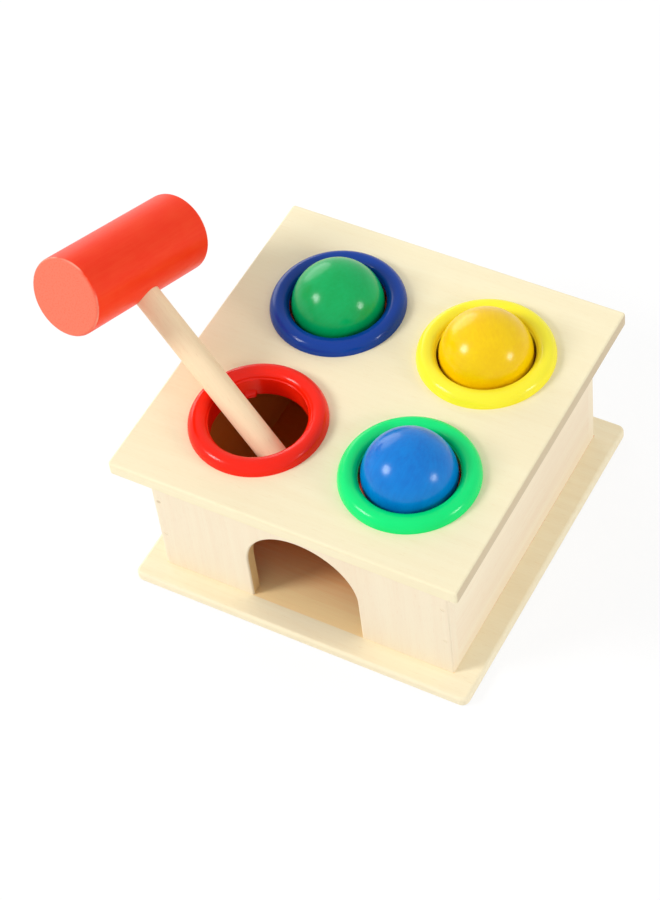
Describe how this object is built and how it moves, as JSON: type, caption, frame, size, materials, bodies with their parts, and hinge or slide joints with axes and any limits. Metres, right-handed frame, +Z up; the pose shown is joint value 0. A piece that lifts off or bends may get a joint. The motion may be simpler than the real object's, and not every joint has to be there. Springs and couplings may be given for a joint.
{
  "type": "ball pounding toy",
  "caption": "Square wooden box with plastic collars in its lid that hold painted balls; a hammer knocks each ball through, and it rolls out of the arched front.",
  "frame": {"origin": "middle of the base board's underside, on the table", "axes": "+Z up, -Y out of the arched front, +X to the right seen from the front"},
  "size_m": [0.2331, 0.18, 0.1703],
  "materials": {
    "board_wood": "clear matt lacquer",
    "base_wood": "clear matt lacquer",
    "wall_wood": "clear matt lacquer",
    "dowel": "sanded",
    "blue_plastic": "glossy moulded",
    "yellow_plastic": "glossy moulded",
    "red_plastic": "glossy moulded",
    "green_plastic": "glossy moulded",
    "green_paint": "gloss paint",
    "yellow_paint": "gloss paint",
    "blue_paint": "gloss paint",
    "red_paint": "gloss paint",
    "head_paint": "satin paint",
    "brad_steel": "plain"
  },
  "bodies": {
    "box": {"top_board": "board_wood", "base_board": "base_wood", "front_wall": "wall_wood", "back_wall": "wall_wood", "left_wall": "wall_wood", "right_wall": "wall_wood", "blue_ring": "blue_plastic", "yellow_ring": "yellow_plastic", "red_ring": "red_plastic", "green_ring": "green_plastic", "brad_front_left_upper": "brad_steel", "brad_front_left_lower": "brad_steel", "brad_front_right_upper": "brad_steel", "brad_front_right_lower": "brad_steel", "brad_back_left_upper": "brad_steel", "brad_back_left_lower": "brad_steel", "brad_back_right_upper": "brad_steel", "brad_back_right_lower": "brad_steel"},
    "green_ball": {"green_ball": "green_paint"},
    "yellow_ball": {"yellow_ball": "yellow_paint"},
    "blue_ball": {"blue_ball": "blue_paint"},
    "red_ball": {"red_ball": "red_paint"},
    "hammer": {"hammer_head": "head_paint", "hammer_handle": "dowel"}
  },
  "joints": [
    {"name": "green_ball_drop", "type": "slide", "parent": "box", "child": "green_ball", "axis": [0, 0, 1], "range_m": [-0.0628, 0.05], "deforming": ["blue_ring"]},
    {"name": "yellow_ball_drop", "type": "slide", "parent": "box", "child": "yellow_ball", "axis": [0, 0, 1], "range_m": [-0.0628, 0.05], "deforming": ["yellow_ring"]},
    {"name": "blue_ball_drop", "type": "slide", "parent": "box", "child": "blue_ball", "axis": [0, 0, 1], "range_m": [-0.0628, 0.05], "deforming": ["green_ring"]},
    {"name": "red_ball_roll", "type": "slide", "parent": "box", "child": "red_ball", "axis": [0, -1, 0], "range_m": [-0.0175, 0.102]},
    {"name": "hammer_lift", "type": "slide", "parent": "box", "child": "hammer", "axis": [-0.81, 0.286, 0.512], "range_m": [0, 0.1]}
  ]
}
